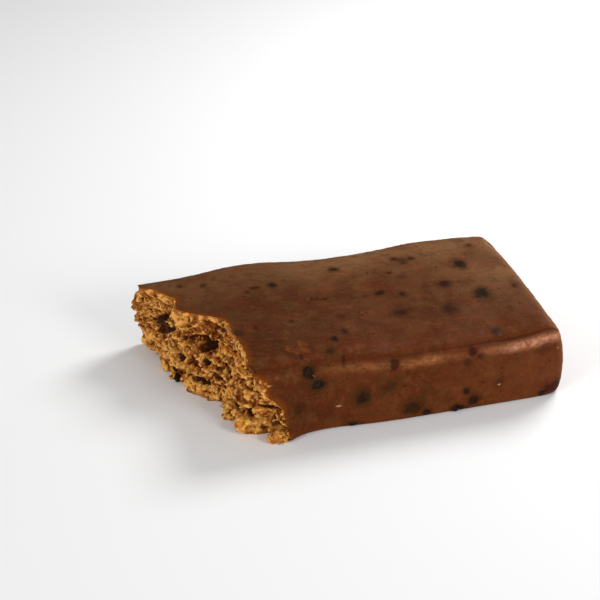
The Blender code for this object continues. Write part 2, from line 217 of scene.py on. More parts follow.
# ---- Where the photo shows dark bits under the skin, in mm ----
# On top: (x, y, half length, half width, strength, purple share)
TOP_BLOTS = (
    (-5.3, 30.2, 0.6, 0.55, 0.85, 0.2), (-20.1, 29.1, 0.75, 0.6, 0.8, 0.6), (-17.4, 28.3, 0.7, 0.6, 0.8, 0.6),
    (-18.9, 28.3, 1.5, 1.1, 0.5, 0.3), (-19.1, 27.2, 0.6, 0.5, 0.6, 0.0), (-31.9, 28.6, 0.9, 0.8, 0.8, 0.0),
    (-22.7, 24.8, 0.6, 0.5, 0.75, 0.3), (-20.9, 22.8, 1.1, 0.9, 0.3, 0.2), (-9.3, 24.0, 1.2, 1.2, 1.0, 0.1),
    (-26.2, 18.6, 1.0, 0.8, 0.9, 0.2), (-22.7, 17.3, 0.6, 0.8, 0.85, 0.1), (-29.3, 18.3, 0.6, 0.5, 0.45, 0.9),
    (-24.8, 11.8, 1.2, 1.1, 0.7, 0.3), (-22.9, 12.3, 0.9, 0.4, 0.5, 0.9), (-14.4, 18.4, 1.1, 1.0, 0.9, 0.4),
    (-8.8, 13.7, 1.3, 1.6, 1.0, 0.0), (-10.1, 12.9, 0.7, 0.5, 0.8, 0.1), (-2.7, 14.7, 0.5, 0.8, 0.7, 0.5),
    (-16.3, 10.9, 1.2, 1.7, 0.75, 0.3), (-10.7, 2.6, 0.9, 1.1, 0.6, 0.1), (-11.5, 18.6, 0.5, 0.4, 0.35, 0.8),
    (-6.0, 8.3, 0.5, 0.6, 0.35, 0.2), (-38.5, 6.0, 0.6, 0.8, 0.9, 0.2), (-36.1, 8.0, 0.5, 0.9, 0.8, 0.3),
    (-35.3, 12.8, 0.9, 0.8, 0.35, 0.9), (-40.3, 2.7, 1.2, 0.9, 0.5, 0.0), (-44.0, 13.6, 0.8, 0.6, 0.55, 0.4),
    (-53.5, 12.8, 0.9, 1.0, 0.5, 0.2), (-50.4, 13.4, 0.5, 0.9, 0.5, 0.5), (-38.7, 0.6, 0.3, 0.5, 0.7, 0.6),
    (-45.4, 2.2, 0.3, 0.8, 0.7, 0.4),
)
# On the near side: (x, z, half length, half height, strength, purple share)
SIDE_BLOTS = (
    (-38.5, 13.4, 0.35, 0.6, 0.8, 0.5), (-35.6, 6.1, 1.2, 1.5, 0.9, 0.0), (-30.6, 7.8, 1.4, 1.4, 0.4, 0.0),
    (-26.5, 2.8, 1.7, 1.5, 0.65, 0.0), (-24.0, 1.4, 0.9, 0.7, 0.9, 0.3), (-27.5, 10.3, 0.4, 0.4, 0.5, 0.9),
    (-28.9, 5.8, 0.4, 0.4, 0.4, 0.6), (-16.9, 4.5, 0.55, 0.65, 0.85, 0.0), (-15.5, 2.2, 1.1, 1.3, 0.85, 0.4),
    (-18.1, 0.9, 1.3, 0.7, 0.95, 0.4), (-36.9, 0.8, 1.1, 0.6, 0.8, 0.7), (-46.7, 6.2, 1.2, 1.5, 0.3, 0.0),
    (-10.9, 5.1, 0.8, 0.9, 0.4, 0.0), (-44.7, 12.2, 1.0, 1.1, 1.0, 0.2), (-43.3, 9.7, 1.2, 1.1, 1.0, 0.0),
    (-29.9, 11.9, 0.9, 1.1, 0.75, 0.8), (-15.8, 12.2, 0.7, 0.8, 0.8, 0.8), (-14.7, 11.3, 0.8, 0.6, 0.7, 0.8),
    (-16.9, 10.3, 0.8, 0.8, 0.35, 0.0), (-2.0, 1.9, 2.0, 1.5, 0.8, 1.0), (-3.4, 10.3, 1.3, 1.1, 0.35, 0.8),
    (-14.0, 5.9, 0.3, 0.3, 0.6, 0.6), (-3.6, 1.1, 0.5, 0.5, 0.9, 0.4), (-49.0, 2.5, 1.6, 1.0, 0.3, 0.6),
)
# Pale flecks on the near side: (x, z, half length, half height) in mm
PALE_FLECKS = (
    (-39.6, 4.9, 0.75, 0.28), (-11.0, 4.8, 0.6, 0.22), (-42.5, 13.5, 0.3, 0.25), (-41.4, 13.4, 0.25, 0.2),
    (-1.5, 9.8, 0.22, 0.25), (-43.9, 11.2, 0.3, 0.4), (-52.0, 11.0, 0.9, 0.2),
)
# How far blots and flecks reach below the skin, in mm, and the depths that are stored far from all of them
BLOT_REACH = 1.5
NO_BLOT = -3.0
NO_SPOT = -1.0
# Spots where the skin is thin and the crumb glows through: (x, y, z, radius) in mm
THIN_SPOTS = (
    (-44.3, 5.8, 14.5, 1.1), (-44.2, 4.6, 14.5, 1.1), (-44.1, 3.5, 14.5, 0.8), (-47.0, 4.6, 14.5, 0.9),
    (-46.0, 3.9, 14.5, 0.9), (-45.3, 0.9, 14.3, 1.0), (-45.0, 0.3, 14.1, 0.9), (-42.5, -0.4, 13.9, 0.6),
    (-41.7, -0.4, 13.8, 0.5), (-48.3, -0.4, 12.8, 0.4), (-50.1, -0.4, 12.9, 0.5),
)
# Blots of the sides that the photo doesn't show, with places and half sizes in mm
BLOT_SEED = 5
FAR_BLOTS = 12
END_BLOTS = 6
BASE_BLOTS = 26
HIDDEN_TOP_BLOTS = 5
HIDDEN_TOP = ((-61.0, -42.0), (24.0, 33.0))
BLOT_HALF = (0.4, 1.4)
BLOT_STRETCH = (0.7, 1.2)
BLOT_STRENGTH = (0.4, 1.0)
# Their gaps to the break, to the ends and sides, and to the top and the base, in mm
BREAK_GAP = 12.0
SIDE_GAP = 2.0
EDGE_GAP = 1.0

# Fruit bits that stand out of the skin, as in the part's source: (x, y, z, and half size along each) in mm
FRUIT_BITS = (
    (-44.9, 0.4, 11.9, 0.65, 0.5, 0.8), (-44.2, 0.4, 11.0, 0.5, 0.45, 0.5),
    (-43.3, 0.4, 9.9, 0.95, 0.5, 0.75), (-42.9, 0.4, 9.1, 0.6, 0.4, 0.5),
    (-35.6, 0.4, 6.1, 0.7, 0.45, 0.95), (-36.9, 0.35, 0.75, 0.8, 0.45, 0.5),
    (-29.9, 0.45, 11.5, 0.45, 0.45, 0.5), (-23.8, 0.35, 1.0, 0.65, 0.5, 0.5),
    (-18.6, 0.3, 0.8, 0.7, 0.6, 0.5), (-17.3, 0.35, 1.1, 0.55, 0.5, 0.5),
    (-15.2, 0.4, 2.0, 0.7, 0.45, 0.8), (-15.4, 0.5, 12.0, 0.4, 0.45, 0.45), (-3.4, 0.4, 1.1, 0.8, 0.5, 0.5),
)
BIT_ROUGHNESS = 0.35
# On the hidden sides, the strongest blots below a height hold a bit that stands out, in mm
OPEN_BIT = 0.8
OPEN_BIT_SHARE = 0.5
OPEN_BIT_MAX = 0.6
OPEN_BIT_TOP = 10.0
OPEN_BIT_SINK = 0.5
# Bits that show in the break: (y, z, half width, half height, how far the middle stands out) in mm
BREAK_BITS = (
    (18.9, 10.0, 0.7, 0.7, -0.2), (14.4, 6.7, 0.55, 0.55, -0.2), (21.2, 1.1, 0.55, 0.9, 0.5),
    (23.6, 1.6, 0.6, 0.7, 0.5), (29.4, 8.4, 0.6, 0.6, -0.2), (3.9, 4.5, 0.45, 0.5, -0.2),
)
BREAK_BIT_DEPTH = 0.55

# Small lumps: how often a ball's faces are split, and the waves of its surface (scale, share of roughness)
SMALL, MIDDLING, LARGE = 2, 3, 4
LUMP_WAVES = ((1.7, 1.0), (4.1, 0.4))
LUMP_SHIFT = (0.37, 0.19, 0.53)
# The depth under the skin in mm that a lump has if none is given
DEEP = 5.0

# Crumbs on the break. How far they stand out and lie above the base is in radii.
GRAIN_SEED = 23
GRAINS = 1100
GRAIN_RADII = (0.14 * MM, 0.5 * MM)
GRAIN_BIAS = 2.0
GRAIN_RIM_SHARE = 0.4
GRAIN_STRETCH = (0.5, 1.3)
GRAIN_OUT = (-0.4, 0.2)
GRAIN_CLEARANCE = 1.4
GRAIN_ROUGHNESS = 0.8
HANGING_STRETCH = (0.8, 1.1)
HANGING_CLEARANCE = 1.2
HANGING_ROUGHNESS = 0.7
# Hollows deeper than this, and the outermost rim, stay free of loose crumbs
CLEAR_HOLLOW = 0.5 * MM
CLEAR_RIM = 0.4 * MM
# Pale and yellow bits that the photo shows on the break: (y, z, radius) in mm
PALE_BITS = ((2.4, 4.3, 0.5), (2.0, 10.9, 0.45), (1.3, 11.4, 0.4), (1.6, 10.0, 0.35), (2.6, 11.8, 0.35))
PALE_BIT_OUT = 0.3
PALE_BIT_ROUGHNESS = 0.4

# ---- Camera, as fitted to the photo, in the bar's own frame ----
PHOTO_SIDE = 600
CAMERA_PLACE = Vector((-103.33, -203.98, 156.75)) * MM
CAMERA_AIM = Vector((-34.39, 42.35, 0.0)) * MM
FOCAL_PIXELS = 1558.0
SENSOR = 36.0

# ---- Studio ----
FLOOR_SIZE = 6.0
FLOOR_SHADE = (243.4, 243.4, 243.4)
FLOOR_ROUGHNESS = 0.9
WORLD_SHADE = (1.0, 1.0, 1.0, 1.0)
WORLD_STRENGTH = 0.32
# (name, place, size across, watts)
LIGHTS = (("top", (0.17, 0.1, 0.19), 0.12, 0.52), ("front", (0.3, -0.5, 0.3), 0.25, 1.7),
          ("left", (-0.6, -0.3, 0.25), 0.3, 2.4))

# The bar's middle in its own frame, which becomes the part's origin
MIDDLE = Vector(((END_REACH - BREAK_REACH) / 2, (WIDTH + FAR_REACH - NEAR_REACH) / 2, 0.0))


# ---- Shape functions, as in the part's source ----
def ramp(value, start, end):
    """0 up to start, 1 from end on, with a soft S between them."""
    share = min(1.0, max(0.0, (value - start) / (end - start)))
    return share * share * (3.0 - 2.0 * share)


def hump(value, centre, span):
    return math.exp(-(((value - centre) / span) ** 2))


def along(points, place):
    """Read an outline given as (place, value) points in millimetres."""
    places, values = zip(*points)
    return float(np.interp(place / MM, places, values)) * MM


def top_lift(x, y):
    """How far the top skin lies above the plain slab."""
    near = along(NEAR_EDGE_LIFT, x) * hump(y, 0.0, NEAR_LIFT_FADE)
    swell = sum(lift * hump(x / MM, centre, span) for centre, span, lift in FAR_EDGE_SWELLS) * MM
    crown = CROWN * (1.0 - (2.0 * y / WIDTH - 1.0) ** 2)
    return near + swell * ramp(y, FAR_SWELL_START, WIDTH) + crown


def pressed(point):
    """Move a point of the plain slab to where it lies on the soft, handled bar."""
    x, y, z = point
    share = z / THICKNESS
    at_end = ramp(x, -BULGE_FADE, 0.0)
    at_far_side = ramp(y, WIDTH - BULGE_FADE, WIDTH)
    at_near_side = 1.0 - ramp(y, 0.0, BULGE_FADE)
    height_from_bulge = (z - END_BULGE_HEIGHT) / (THICKNESS - END_BULGE_HEIGHT)
    end_push = END_REACH - END_LEAN * height_from_bulge ** 2
    belly = SIDE_BULGE * math.sin(math.pi * share)
    spread = BASE_SPREAD * (1.0 - share)
    far_push = belly + spread + FAR_SPREAD * hump(x, FAR_SPREAD_X, FAR_SPREAD_SPAN) * share
    tuck = BASE_TUCK * hump(x, BASE_TUCK_X, BASE_TUCK_SPAN)
    flare = BASE_FLARE * hump(x, BASE_FLARE_X, BASE_FLARE_SPAN)
    near_push = (tuck - flare) * (1.0 - share) - spread - belly
    return Vector((
        x + end_push * at_end,
        y + far_push * at_far_side + near_push * at_near_side,
        z + top_lift(x, y) * share,
    ))


def near_side(x, z):
    """y of the bar's near long side."""
    return pressed(Vector((x, 0.0, min(THICKNESS, max(0.0, z))))).y


def depth_inside(place):
    """Roughly how deep a point lies under the nearest skin."""
    x, y, z = place
    side = min(y - near_side(x, z), WIDTH + FAR_REACH - y)
    return min(side, THICKNESS + top_lift(x, y) - z)


def lumps(place, size):
    """A field of rounded lumps about one size across, each of its own height, 0 in the creases."""
    distances, centres = noise.voronoi(place / size)
    dome = 1.0 - min(1.0, distances[0] / LUMP_REACH) ** 2
    return dome * (1.0 - LUMP_VARIETY + LUMP_VARIETY * noise.noise(centres[0] * LUMP_SHUFFLE))


def lump_tone(place, size):
    """A number from -1 to 1 that is the same all over one lump."""
    return noise.noise(noise.voronoi(place / size)[1][0] * TONE_SHUFFLE)


def drawn_out(place):
    """A place with the crumb's lengthwise direction shortened, so that what is read there comes out drawn."""
    tilt_cos, tilt_sin = math.cos(RIDGE_TILT), math.sin(RIDGE_TILT)
    lengthwise = (place.y * tilt_cos + place.z * tilt_sin) / RIDGE_STRETCH
    return Vector((place.x, lengthwise, place.z * tilt_cos - place.y * tilt_sin))


def ridges(drawn):
    """Crests with wide troughs between them."""
    return 1.0 - abs(2.0 * noise.noise(drawn / RIDGE_SIZE + WARP_OFFSETS[0]))


def plain_break(y, z):
    """x of the break without its crags."""
    share = min(1.0, max(0.0, z / THICKNESS))
    step = ramp(share, STEP_HEIGHT - STEP_SPAN / 2, STEP_HEIGHT + STEP_SPAN / 2)
    blend = share + (step - share) * STEP_SHARE
    across = along(BREAK_BASE, y) * (1.0 - blend) + along(BREAK_TOP, y) * blend
    at_side = 1.0 - ramp(y, SIDE_START, SIDE_END)
    return across + (along(BREAK_SIDE, z) - across) * at_side


def hollow_depth(y, z):
    """How deep the named hollows are at a place of the break."""
    depth = 0.0
    for middle_y, middle_z, half_width, half_height, deepest in BREAK_HOLLOWS:
        reach = ((y / MM - middle_y) / half_width) ** 2 + ((z / MM - middle_z) / half_height) ** 2
        depth += deepest * math.exp(-reach * reach)
    return depth * MM


def wander(place):
    """A smooth push in all three directions, each read from its own part of one noise field."""
    return Vector([noise.noise(place / WARP_SIZE + offset) for offset in WARP_OFFSETS]) * WARP


def torn(y, z):
    """A point of the craggy break. Near the skin it is calmer and rounds over."""
    place = Vector((plain_break(y, z), y, z))
    inside = depth_inside(place)
    rough = CALM_SHARE + (1.0 - CALM_SHARE) * ramp(inside, 0.0, CALM_DEPTH)
    push = wander(place)
    bent = place + push
    drawn = drawn_out(bent)
    out = CLUMP_HEIGHT * (lumps(drawn, CLUMP_SIZE) - LUMP_MEAN)
    out += RIDGE_HEIGHT * (ridges(drawn) - RIDGE_MEAN)
    out += CRUMB_HEIGHT * (lumps(bent, CRUMB_SIZE) - LUMP_MEAN)
    out = out * rough - hollow_depth(y, z)
    round_over = 1.0 - min(1.0, max(0.0, inside / SHOULDER))
    out -= SHOULDER * (1.0 - math.sqrt(1.0 - round_over ** 2))
    return place - Vector((out, 0.0, 0.0)) + push * rough


# ---- Mesh helpers ----
def add_object(name, data):
    made = bpy.data.objects.new(name, data)
    bpy.context.scene.collection.objects.link(made)
    return made


def mesh_object(name, bm):
    """Make an object of a bmesh, which is used up."""
    mesh = bpy.data.meshes.new(name)
    bm.to_mesh(mesh)
    bm.free()
    return add_object(name, mesh)


def apply_modifiers(target):
    evaluated = target.evaluated_get(bpy.context.evaluated_depsgraph_get())
    mesh = bpy.data.meshes.new_from_object(evaluated)
    target.modifiers.clear()
    target.data = mesh


def edges_where(bm, test):
    return [edge for edge in bm.edges if all(test(vert.co) for vert in edge.verts)]


def round_edges(bm, edges, radius):
    bmesh.ops.bevel(bm, geom=edges, offset=radius, offset_type="OFFSET", segments=ROUND_STEPS,
                    profile=0.5, affect="EDGES")


def slice_at(bm, axis, low, high):
    """Cut loops across one axis, so that the form has points to move."""
    count = round((high - low) / SLAB_STEPS[axis])
    normal = Vector((0.0, 0.0, 0.0))
    normal[axis] = 1.0
    for step in range(1, count):
        place = normal * (low + (high - low) * step / count)
        parts = bm.verts[:] + bm.edges[:] + bm.faces[:]
        bmesh.ops.bisect_plane(bm, geom=parts, plane_co=place, plane_no=normal, dist=TOLERANCE)


def rows(items, what, size=3, kind=float):
    """One kind of value of a mesh's vertices or edges, as the rows of an array."""
    values = np.zeros(len(items) * size, kind)
    items.foreach_get(what, values)
    return values.reshape(-1, size)


def points_of(mesh):
    return rows(mesh.vertices, "co")


def store(mesh, name, values):
    made = mesh.attributes.new(name, "FLOAT", "POINT")
    made.data.foreach_set("value", np.asarray(values, np.float32))


# ---- The bar ----
def over_near_edge(y, z):
    """How far round the near top edge a point of the plain slab lies, from where the rounding starts."""
    if z < THICKNESS - TOP_ROUND:
        return z - (THICKNESS - TOP_ROUND)
    if y > TOP_ROUND:
        return TOP_ROUND * math.pi / 2 + y - TOP_ROUND
    return TOP_ROUND * math.atan2(z - (THICKNESS - TOP_ROUND), TOP_ROUND - y)


def edge_share(plain, line):
    """A profile's value on a wavy line along the near top edge, fading to 0 on both sides of the line."""
    middle, span, profile = line
    x, y, z = plain
    if y > 3 * TOP_ROUND or z < THICKNESS / 2:
        return 0.0
    wave = EDGE_WAVE * noise.noise(Vector((x / EDGE_WAVE_SIZE, 0.0, 0.0)))
    return hump(over_near_edge(y, z) + wave, middle, span) * float(np.interp(x / MM, *zip(*profile)))


def segment_distance(u, v, crease):
    """Distance from a point to a crease's line, in mm."""
    start, end, point = Vector(crease[0:2]), Vector(crease[2:4]), Vector((u, v))
    run = end - start
    share = min(1.0, max(0.0, (point - start).dot(run) / run.length_squared))
    return (point - start - run * share).length


def crease_depth(plain):
    """Depth of the creases at a point of the plain slab, in mm. The skin paints deep ones darker, as shade.
    """
    x, y, z = plain / MM
    if z > THICKNESS / MM - CREASE_SKIN:
        u, v, creases = x, y, TOP_CREASES
    elif y < CREASE_SKIN:
        u, v, creases = x, z, SIDE_CREASES
    else:
        return 0.0
    spot = Vector((u / CREASE_WIGGLE_SIZE, v / CREASE_WIGGLE_SIZE, CREASE_LAYER))
    wiggle = CREASE_WIGGLE * abs(noise.noise(spot))
    depth = 0.0
    for crease in creases:
        reach = (segment_distance(u, v, crease) + wiggle) / crease[4]
        if reach < CREASE_REACH:
            depth = max(depth, crease[5] * math.exp(-reach * reach / 2.0))
    return depth


def skin_relief(plain, pressed_point):
    """How far the skin lies off the pressed form."""
    x, y, z = plain
    beads = BEAD_HEIGHT * (lumps(pressed_point, BEAD_SIZE) - LUMP_MEAN)
    relief = edge_share(plain, CREST) * (CREST_HEIGHT + beads) - edge_share(plain, GROOVE) * GROOVE_DEPTH
    if z > THICKNESS / 2:
        for middle_x, middle_y, half_length, half_width, depth in DENTS:
            reach = ((x / MM - middle_x) / half_length) ** 2 + ((y / MM - middle_y) / half_width) ** 2
            relief -= depth * MM * math.exp(-reach)
    relief -= crease_depth(plain) * MM
    waves = sum(height * noise.noise(pressed_point / size) for size, height in SKIN_WAVES)
    waves += STREAK_HEIGHT * noise.noise(Vector([value / size for value, size in zip(plain, STREAK_SIZES)]))
    return relief + waves * ramp(z, *WAVE_FADE)


def refine(slab):
    """Halve the slab's mesh where creases, the crest and the dark bits of the near side need it."""
    def fine(co):
        on_top = co.z > THICKNESS - TOP_ROUND and co.x < HALVED_TOP_END and co.y < HALVED_TOP_WIDTH
        near = co.y < 2.0 * TOP_ROUND and co.z > HALVED_SIDE_FOOT
        return co.x > HALVED_START and (on_top or near)

    bm = bmesh.new()
    bm.from_mesh(slab.data)
    bmesh.ops.subdivide_edges(bm, edges=edges_where(bm, fine), cuts=1, use_grid_fill=True)
    bm.to_mesh(slab.data)
    bm.free()


def bar_slab():
    """The whole-width slab, pressed to the bar's form, smoothed and given its relief."""
    bm = bmesh.new()
    size = Matrix.Diagonal((SLAB_LENGTH, WIDTH, THICKNESS, 1.0))
    middle = Matrix.Translation((-SLAB_LENGTH / 2, WIDTH / 2, THICKNESS / 2))
    bmesh.ops.create_cube(bm, size=1.0, matrix=middle @ size)
    upright = [edge for edge in edges_where(bm, lambda co: co.x > -MM)
               if abs(edge.verts[0].co.z - edge.verts[1].co.z) > MM]
    round_edges(bm, upright, CORNER_ROUND)
    round_edges(bm, edges_where(bm, lambda co: co.z > THICKNESS - TOLERANCE), TOP_ROUND)
    round_edges(bm, edges_where(bm, lambda co: co.z < TOLERANCE), BASE_ROUND)
    slice_at(bm, 0, -SLAB_LENGTH + TOP_ROUND, -CORNER_ROUND)
    slice_at(bm, 1, CORNER_ROUND, WIDTH - CORNER_ROUND)
    slice_at(bm, 2, BASE_ROUND, THICKNESS - TOP_ROUND)
    slab = mesh_object("bar_dough", bm)
    smooth = slab.modifiers.new("smooth", "SUBSURF")
    smooth.levels = SLAB_LEVELS
    apply_modifiers(slab)
    refine(slab)
    plain = [vert.co.copy() for vert in slab.data.vertices]
    store(slab.data, "sheen", [edge_share(point, SHEEN) for point in plain])
    store(slab.data, "groove", [edge_share(point, GROOVE) for point in plain])
    store(slab.data, "crease", [crease_depth(point) for point in plain])
    for vert in slab.data.vertices:
        vert.co = pressed(vert.co)
    slab.data.update()
    relief = [skin_relief(point, vert.co) for point, vert in zip(plain, slab.data.vertices)]
    points = points_of(slab.data) + rows(slab.data.vertices, "normal") * np.array(relief)[:, None]
    points[:, 2] = np.maximum(points[:, 2], 0.0)
    slab.data.vertices.foreach_set("co", points.ravel())
    slab.data.update()
    return slab


def break_cutter():
    """A block that fills everything beyond the break, its near face torn into crags."""
    bm = bmesh.new()
    depth = WIDTH + 2 * CUTTER_MARGIN
    height = THICKNESS + 2 * CUTTER_MARGIN
    bmesh.ops.create_grid(bm, x_segments=round(depth / FINE_STEP), y_segments=round(height / FINE_STEP),
                          size=0.5)
    for vert in bm.verts:
        vert.co = torn(WIDTH / 2 + depth * vert.co.x, THICKNESS / 2 + height * vert.co.y)
    sheet = bm.verts[:] + bm.edges[:] + bm.faces[:]
    pulled = bmesh.ops.extrude_face_region(bm, geom=sheet, use_keep_orig=True)["geom"]
    for vert in pulled:
        if isinstance(vert, bmesh.types.BMVert):
            vert.co.x = CUTTER_BACK
    bmesh.ops.recalc_face_normals(bm, faces=bm.faces[:])
    return mesh_object("break_cutter", bm)


def drop_scraps(target):
    """Keep only the largest shell of a mesh."""
    bm = bmesh.new()
    bm.from_mesh(target.data)
    left = set(bm.verts)
    shells = []
    while left:
        shell = {left.pop()}
        edge = set(shell)
        while edge:
            edge = {link.other_vert(vert) for vert in edge for link in vert.link_edges} - shell
            shell |= edge
        left -= shell
        shells.append(shell)
    largest = max(shells, key=len)
    scraps = [vert for vert in bm.verts if vert not in largest]
    bmesh.ops.delete(bm, geom=scraps, context="VERTS")
    bm.to_mesh(target.data)
    bm.free()


def cut_break(slab, cutter):
    cut = slab.modifiers.new("break", "BOOLEAN")
    cut.operation = "DIFFERENCE"
    cut.solver = "EXACT"
    cut.object = cutter
    cut.material_mode = "TRANSFER"
    apply_modifiers(slab)
    drop_scraps(slab)
    bpy.data.objects.remove(cutter)


def grains_at(place):
    """How far the crumbs at a place stand off the surface."""
    return sum(height * (lumps(place, size) - LUMP_MEAN) for size, height in GRAIN_SCALES)


def tone_at(place):
    """A tone from -1 to 1, even over each crumb."""
    return sum(lump_tone(place, size) for size, _ in GRAIN_SCALES) / len(GRAIN_SCALES)


def split_long_edges(bm):
    """Halve the crumb's long edges, which lie on its steep flanks."""
    for _ in range(SPLIT_ROUNDS):
        edges = [edge for edge in bm.edges if edge.calc_length() > LONGEST_EDGE
                 and all(face.material_index == CRUMB for face in edge.link_faces)]
        bmesh.ops.subdivide_edges(bm, edges=edges, cuts=1)


def grain_crumb(bar):
    """Cover the break with crumbs that stand off its surface, whichever way it faces."""
    bm = bmesh.new()
    bm.from_mesh(bar.data)
    split_long_edges(bm)
    bm.normal_update()
    tone = bm.verts.layers.float.new("tone")
    for vert in bm.verts:
        if not all(face.material_index == CRUMB for face in vert.link_faces):
            continue
        place = vert.co.copy()
        inside = depth_inside(place)
        calm = GRAIN_CALM + (1.0 - GRAIN_CALM) * ramp(inside, 0.0, CALM_DEPTH)
        vert[tone] = tone_at(place)
        vert.co = place + vert.normal * grains_at(place) * calm * ramp(inside, 0.0, RIM_WIDTH)
        vert.co.z = max(vert.co.z, 0.0)
    bm.to_mesh(bar.data)
    bm.free()


def vertex_kinds(mesh):
    """Two flags for each vertex: whether it touches skin, and whether it touches crumb."""
    touches = np.zeros((len(mesh.vertices), 2), bool)
    for polygon in mesh.polygons:
        touches[list(polygon.vertices), polygon.material_index] = True
    return touches[:, SKIN], touches[:, CRUMB]


def cavity(mesh, rounds):
    """How deep each vertex lies under its smoothed surroundings, in mm. On crests it is below 0."""
    points = points_of(mesh)
    pairs = rows(mesh.edges, "vertices", 2, np.int32)
    count = np.bincount(pairs.ravel(), minlength=len(points)).astype(float)[:, None]
    smooth = points.copy()
    for _ in range(rounds):
        total = np.zeros_like(smooth)
        for axis in range(3):
            total[:, axis] += np.bincount(pairs[:, 0], smooth[pairs[:, 1], axis], len(points))
            total[:, axis] += np.bincount(pairs[:, 1], smooth[pairs[:, 0], axis], len(points))
        smooth = 0.5 * smooth + 0.5 * total / np.maximum(count, 1.0)
    return ((smooth - points) * rows(mesh.vertices, "normal")).sum(axis=1) / MM


def seeded_blots():
    """Blots for the sides that the photo doesn't show, as thickly strewn as on the ones it does."""
    draw = random.Random(BLOT_SEED)
    start, width, height = -BREAK_REACH / MM + BREAK_GAP, WIDTH / MM, THICKNESS / MM
    lengthwise, across = (start, -SIDE_GAP), (SIDE_GAP, width - SIDE_GAP)
    upwards = (EDGE_GAP, height - EDGE_GAP)

    def strew(count, fixed_axis, level, ranges):
        made = []
        for _ in range(count):
            spot = [draw.uniform(*limits) for limits in ranges]
            spot.insert(fixed_axis, level)
            half = draw.uniform(*BLOT_HALF)
            sizes = [half * draw.uniform(*BLOT_STRETCH) for _ in range(3)]
            made.append((spot, sizes, draw.uniform(*BLOT_STRENGTH), draw.random() ** 2))
        return made

    return (strew(FAR_BLOTS, 1, width, (lengthwise, upwards))
            + strew(END_BLOTS, 0, 0.0, (across, upwards))
            + strew(BASE_BLOTS, 2, 0.0, (lengthwise, across))
            + strew(HIDDEN_TOP_BLOTS, 2, height, HIDDEN_TOP))


def all_blots():
    """Every blot as (middle, half sizes, strength, purple share), in mm."""
    blots = seeded_blots()
    for x, y, half_x, half_y, *looks in TOP_BLOTS:
        blots.append(((x, y, THICKNESS / MM), (half_x, half_y, BLOT_REACH), *looks))
    for x, z, half_x, half_z, *looks in SIDE_BLOTS:
        blots.append(((x, 0.0, z), (half_x, BLOT_REACH, half_z), *looks))
    return blots


def depth_in(points, middle, half_sizes):
    """How deep points in mm lie in a round spot: 1 at its middle, 0 at its edge, below 0 outside."""
    return 1.0 - np.linalg.norm((points - middle) / half_sizes, axis=1)


def pressed_mm(place):
    """Where a place in mm on the plain slab comes to lie."""
    return np.array(pressed(Vector(place) * MM)) / MM


def store_blots(mesh):
    """The depth inside the nearest blot, that blot's strength and its purple share."""
    points = points_of(mesh) / MM
    depth = np.full(len(points), NO_BLOT)
    strength, purple = np.zeros((2, len(points)))
    for middle, half_sizes, weight, share in all_blots():
        inside = depth_in(points, pressed_mm(middle), half_sizes)
        nearer = inside > depth
        depth[nearer] = inside[nearer]
        strength[nearer] = weight
        purple[nearer] = share
    store(mesh, "blot_depth", depth)
    store(mesh, "blot_strength", strength)
    store(mesh, "blot_purple", purple)


def store_spots(mesh):
    """The depth inside the nearest pale fleck and the nearest thin spot."""
    points = points_of(mesh) / MM
    fleck, thin = np.full((2, len(points)), NO_SPOT)
    for x, z, half_length, half_height in PALE_FLECKS:
        inside = depth_in(points, pressed_mm((x, 0.0, z)), (half_length, BLOT_REACH, half_height))
        fleck = np.maximum(fleck, inside)
    for x, y, z, radius in THIN_SPOTS:
        thin = np.maximum(thin, depth_in(points, (x, y, z), radius))
    store(mesh, "fleck", fleck)
    store(mesh, "thin", thin)


def near_break(mesh, measure, elsewhere=0.0):
    """What measure gives for each point that may lie at the break, in mm, and elsewhere for the others."""
    points = points_of(mesh)
    values = np.full(len(points), elsewhere)
    for index in np.nonzero(points[:, 0] < NEAR_BREAK)[0]:
        values[index] = measure(points[index]) / MM
    return values


def store_break(mesh, whole):
    """How far points lie from the torn edge, how deep under the whole bar's skin and in the hollows."""
    skin, crumb = vertex_kinds(mesh)
    edge = points_of(mesh)[skin & crumb]
    torn_edge = kdtree.KDTree(len(edge))
    for index, point in enumerate(edge):
        torn_edge.insert(point, index)
    torn_edge.balance()
    rim = near_break(mesh, lambda point: torn_edge.find(point)[2], FAR_FROM_BREAK)
    rim[crumb & ~skin] = 0.0
    store(mesh, "rim", rim)
    whole_skin = bvhtree.BVHTree.FromPolygons(*whole)
    store(mesh, "depth", near_break(mesh, lambda point: whole_skin.find_nearest(point)[3]))
    store(mesh, "pit", near_break(mesh, lambda point: hollow_depth(point[1], point[2])) * crumb)


def finish_bar(bar, whole):
    """Store what the materials read."""
    mesh = bar.data
    store_break(mesh, whole)
    store_blots(mesh)
    store_spots(mesh)
    for name, rounds in CAVITIES:
        store(mesh, name, cavity(mesh, rounds))
    mesh.shade_smooth()


# ---- Small pieces ----
def ball(detail):
    """Points and triangles of a round ball of radius 1."""
    bm = bmesh.new()
    bmesh.ops.create_icosphere(bm, subdivisions=detail, radius=1.0)
    points = [vert.co.copy() for vert in bm.verts]
    faces = np.array([[vert.index for vert in face.verts] for face in bm.faces])
    bm.free()
    return points, faces


